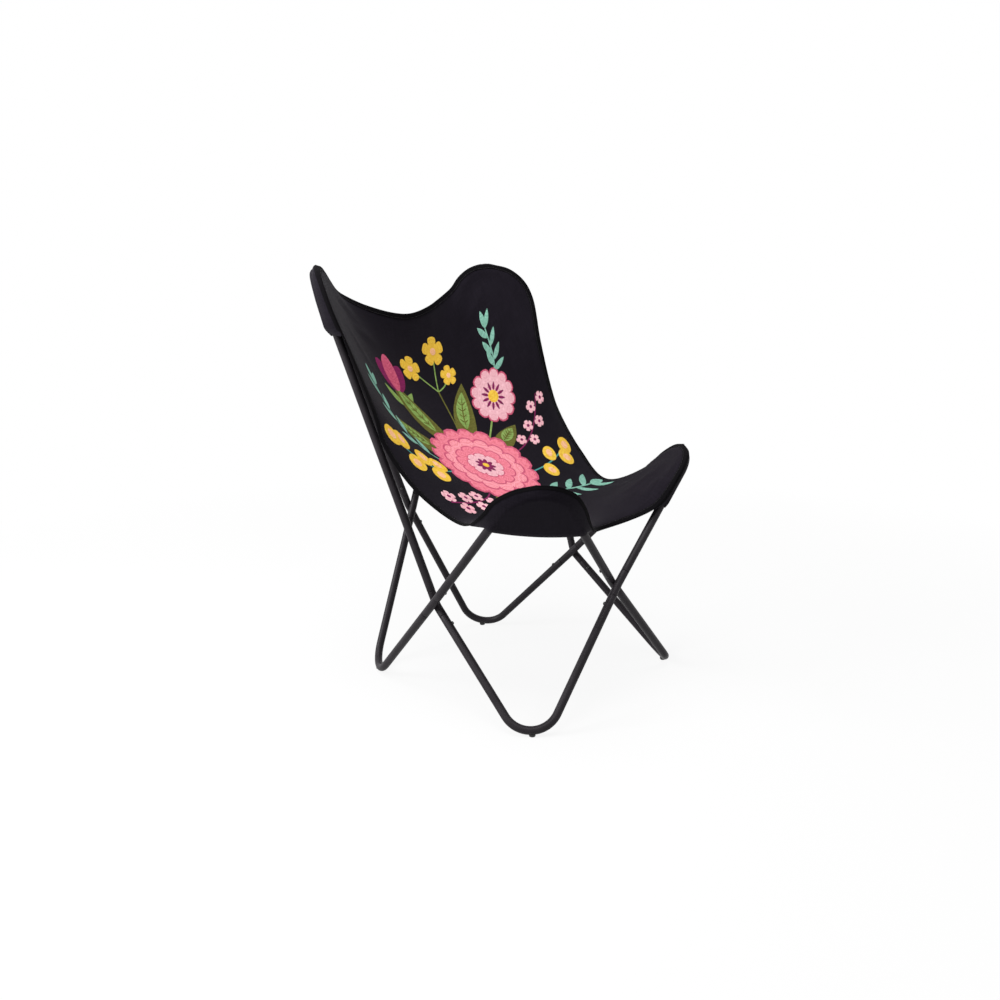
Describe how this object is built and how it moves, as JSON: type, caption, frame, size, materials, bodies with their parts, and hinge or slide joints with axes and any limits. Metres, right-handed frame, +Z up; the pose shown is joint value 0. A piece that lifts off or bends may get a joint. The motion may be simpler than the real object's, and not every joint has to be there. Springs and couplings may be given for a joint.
{
  "type": "butterfly sling chair",
  "caption": "Knock-down butterfly chair: bent steel tube frame with welded crossings, plug joints and snap buttons, and a canvas sling hung by pockets on its tips.",
  "frame": {"origin": "on the floor, under the centre of the bounding box", "axes": "+Z up, -Y towards the front of the seat, +X to the right as seen from the front"},
  "size_m": [0.6698, 0.6544, 0.8895],
  "materials": {
    "frame_steel": "satin black powder coat",
    "button_steel": "blackened",
    "spring_steel": "plain spring steel",
    "glide_plastic": "matte black",
    "sling_canvas": "charcoal cotton canvas",
    "binding_tape": "black woven tape"
  },
  "bodies": {
    "chair": {"front_left_foot_tube": "frame_steel", "front_right_foot_tube": "frame_steel", "back_left_foot_tube": "frame_steel", "back_right_foot_tube": "frame_steel", "front_left_tip_tube": "frame_steel", "front_right_tip_tube": "frame_steel", "back_left_tip_tube": "frame_steel", "back_right_tip_tube": "frame_steel", "left_cross_connector": "frame_steel", "right_cross_connector": "frame_steel", "front_cross_connector": "frame_steel", "back_cross_connector": "frame_steel", "front_left_left_lower_button_spring": "spring_steel", "front_left_front_lower_button_spring": "spring_steel", "front_right_right_lower_button_spring": "spring_steel", "front_right_front_lower_button_spring": "spring_steel", "back_left_left_lower_button_spring": "spring_steel", "back_left_back_lower_button_spring": "spring_steel", "back_right_right_lower_button_spring": "spring_steel", "back_right_back_lower_button_spring": "spring_steel", "front_left_left_upper_button_spring": "spring_steel", "front_left_front_upper_button_spring": "spring_steel", "front_right_right_upper_button_spring": "spring_steel", "front_right_front_upper_button_spring": "spring_steel", "back_left_left_upper_button_spring": "spring_steel", "back_left_back_upper_button_spring": "spring_steel", "back_right_right_upper_button_spring": "spring_steel", "back_right_back_upper_button_spring": "spring_steel", "front_left_foot_glide": "glide_plastic", "front_right_foot_glide": "glide_plastic", "back_left_foot_glide": "glide_plastic", "back_right_foot_glide": "glide_plastic", "sling_panel": "sling_canvas", "front_left_tip_pocket": "sling_canvas", "front_right_tip_pocket": "sling_canvas", "back_left_tip_pocket": "sling_canvas", "back_right_tip_pocket": "sling_canvas", "edge_binding": "binding_tape"},
    "front_left_left_lower_snap_button_body": {"front_left_left_lower_snap_button": "button_steel"},
    "front_left_front_lower_snap_button_body": {"front_left_front_lower_snap_button": "button_steel"},
    "front_right_right_lower_snap_button_body": {"front_right_right_lower_snap_button": "button_steel"},
    "front_right_front_lower_snap_button_body": {"front_right_front_lower_snap_button": "button_steel"},
    "back_left_left_lower_snap_button_body": {"back_left_left_lower_snap_button": "button_steel"},
    "back_left_back_lower_snap_button_body": {"back_left_back_lower_snap_button": "button_steel"},
    "back_right_right_lower_snap_button_body": {"back_right_right_lower_snap_button": "button_steel"},
    "back_right_back_lower_snap_button_body": {"back_right_back_lower_snap_button": "button_steel"},
    "front_left_left_upper_snap_button_body": {"front_left_left_upper_snap_button": "button_steel"},
    "front_left_front_upper_snap_button_body": {"front_left_front_upper_snap_button": "button_steel"},
    "front_right_right_upper_snap_button_body": {"front_right_right_upper_snap_button": "button_steel"},
    "front_right_front_upper_snap_button_body": {"front_right_front_upper_snap_button": "button_steel"},
    "back_left_left_upper_snap_button_body": {"back_left_left_upper_snap_button": "button_steel"},
    "back_left_back_upper_snap_button_body": {"back_left_back_upper_snap_button": "button_steel"},
    "back_right_right_upper_snap_button_body": {"back_right_right_upper_snap_button": "button_steel"},
    "back_right_back_upper_snap_button_body": {"back_right_back_upper_snap_button": "button_steel"}
  },
  "joints": [
    {"name": "front_left_left_lower_button_press", "type": "slide", "parent": "chair", "child": "front_left_left_lower_snap_button_body", "axis": [-0.7591, 0.4932, -0.4249], "range_m": [0, 0.004], "stiffness_N_per_m": 1500, "deforming": ["front_left_left_lower_button_spring"]},
    {"name": "front_left_front_lower_button_press", "type": "slide", "parent": "chair", "child": "front_left_front_lower_snap_button_body", "axis": [0.319, -0.8903, -0.325], "range_m": [0, 0.004], "stiffness_N_per_m": 1500, "deforming": ["front_left_front_lower_button_spring"]},
    {"name": "front_right_right_lower_button_press", "type": "slide", "parent": "chair", "child": "front_right_right_lower_snap_button_body", "axis": [0.7869, 0.4463, -0.426], "range_m": [0, 0.004], "stiffness_N_per_m": 1500, "deforming": ["front_right_right_lower_button_spring"]},
    {"name": "front_right_front_lower_button_press", "type": "slide", "parent": "chair", "child": "front_right_front_lower_snap_button_body", "axis": [-0.3749, -0.8689, -0.3233], "range_m": [0, 0.004], "stiffness_N_per_m": 1500, "deforming": ["front_right_front_lower_button_spring"]},
    {"name": "back_left_left_lower_button_press", "type": "slide", "parent": "chair", "child": "back_left_left_lower_snap_button_body", "axis": [-0.6211, -0.4793, -0.6201], "range_m": [0, 0.004], "stiffness_N_per_m": 1500, "deforming": ["back_left_left_lower_button_spring"]},
    {"name": "back_left_back_lower_button_press", "type": "slide", "parent": "chair", "child": "back_left_back_lower_snap_button_body", "axis": [0.4542, 0.833, -0.3161], "range_m": [0, 0.004], "stiffness_N_per_m": 1500, "deforming": ["back_left_back_lower_button_spring"]},
    {"name": "back_right_right_lower_button_press", "type": "slide", "parent": "chair", "child": "back_right_right_lower_snap_button_body", "axis": [0.5938, -0.5222, -0.6121], "range_m": [0, 0.004], "stiffness_N_per_m": 1500, "deforming": ["back_right_right_lower_button_spring"]},
    {"name": "back_right_back_lower_button_press", "type": "slide", "parent": "chair", "child": "back_right_back_lower_snap_button_body", "axis": [-0.3971, 0.8563, -0.3302], "range_m": [0, 0.004], "stiffness_N_per_m": 1500, "deforming": ["back_right_back_lower_button_spring"]},
    {"name": "front_left_left_upper_button_press", "type": "slide", "parent": "chair", "child": "front_left_left_upper_snap_button_body", "axis": [-0.8448, 0.4586, 0.2757], "range_m": [0, 0.004], "stiffness_N_per_m": 1500, "deforming": ["front_left_left_upper_button_spring"]},
    {"name": "front_left_front_upper_button_press", "type": "slide", "parent": "chair", "child": "front_left_front_upper_snap_button_body", "axis": [0.4715, -0.8034, 0.3638], "range_m": [0, 0.004], "stiffness_N_per_m": 1500, "deforming": ["front_left_front_upper_button_spring"]},
    {"name": "front_right_right_upper_button_press", "type": "slide", "parent": "chair", "child": "front_right_right_upper_snap_button_body", "axis": [0.8162, 0.5066, 0.2778], "range_m": [0, 0.004], "stiffness_N_per_m": 1500, "deforming": ["front_right_right_upper_button_spring"]},
    {"name": "front_right_front_upper_button_press", "type": "slide", "parent": "chair", "child": "front_right_front_upper_snap_button_body", "axis": [-0.4218, -0.8307, 0.3632], "range_m": [0, 0.004], "stiffness_N_per_m": 1500, "deforming": ["front_right_front_upper_button_spring"]},
    {"name": "back_left_left_upper_button_press", "type": "slide", "parent": "chair", "child": "back_left_left_upper_snap_button_body", "axis": [-0.7348, -0.6594, 0.1588], "range_m": [0, 0.004], "stiffness_N_per_m": 1500, "deforming": ["back_left_left_upper_button_spring"]},
    {"name": "back_left_back_upper_button_press", "type": "slide", "parent": "chair", "child": "back_left_back_upper_snap_button_body", "axis": [0.6222, 0.7418, 0.2504], "range_m": [0, 0.004], "stiffness_N_per_m": 1500, "deforming": ["back_left_back_upper_button_spring"]},
    {"name": "back_right_right_upper_button_press", "type": "slide", "parent": "chair", "child": "back_right_right_upper_snap_button_body", "axis": [0.7721, -0.6158, 0.1571], "range_m": [0, 0.004], "stiffness_N_per_m": 1500, "deforming": ["back_right_right_upper_button_spring"]},
    {"name": "back_right_back_upper_button_press", "type": "slide", "parent": "chair", "child": "back_right_back_upper_snap_button_body", "axis": [-0.6652, 0.7036, 0.2499], "range_m": [0, 0.004], "stiffness_N_per_m": 1500, "deforming": ["back_right_back_upper_button_spring"]}
  ]
}
